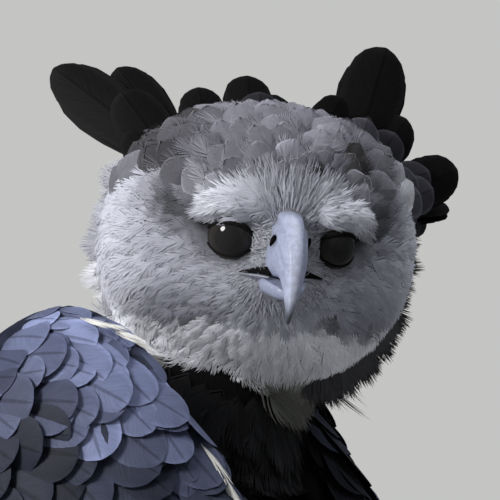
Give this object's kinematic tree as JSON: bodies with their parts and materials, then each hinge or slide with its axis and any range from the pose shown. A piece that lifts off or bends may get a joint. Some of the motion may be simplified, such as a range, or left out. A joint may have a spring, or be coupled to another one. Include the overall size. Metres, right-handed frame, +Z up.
{
  "type": "harpy eagle",
  "caption": "Life-size still harpy eagle standing on both feet, wings folded, head turned back over its left shoulder, crest raised.",
  "frame": {"origin": "on the floor, under the middle of the bird's box", "axes": "+Z up, the body faces -Y, the bird's left side is +X"},
  "size_m": [0.2764, 0.5836, 0.7427],
  "materials": {
    "face_feather": "soft pale grey feather",
    "breast_feather": "soft white feather",
    "collar_feather": "soft black feather",
    "back_feather": "smooth slate-blue feather",
    "tail_feather": "smooth black feather with grey bars",
    "leg_feather": "white feather with fine dark bars",
    "bill": "satin horn",
    "eye": "wet dark eye",
    "scaly_skin": "yellow scaly skin",
    "talon": "polished black horn"
  },
  "bodies": {
    "root": {"torso": "breast_feather", "head": "face_feather", "eye_left": "eye", "eye_right": "eye", "bill_upper": "bill", "bill_lower": "bill", "neck": "collar_feather", "tail": "tail_feather", "thigh_left": "leg_feather", "shank_left": "scaly_skin", "foot_left": "scaly_skin", "wing_left": "back_feather", "claw_inner_left": "talon", "claw_middle_left": "talon", "claw_outer_left": "talon", "claw_hind_left": "talon", "thigh_right": "leg_feather", "shank_right": "scaly_skin", "foot_right": "scaly_skin", "wing_right": "back_feather", "claw_inner_right": "talon", "claw_middle_right": "talon", "claw_outer_right": "talon", "claw_hind_right": "talon"}
  },
  "joints": []
}
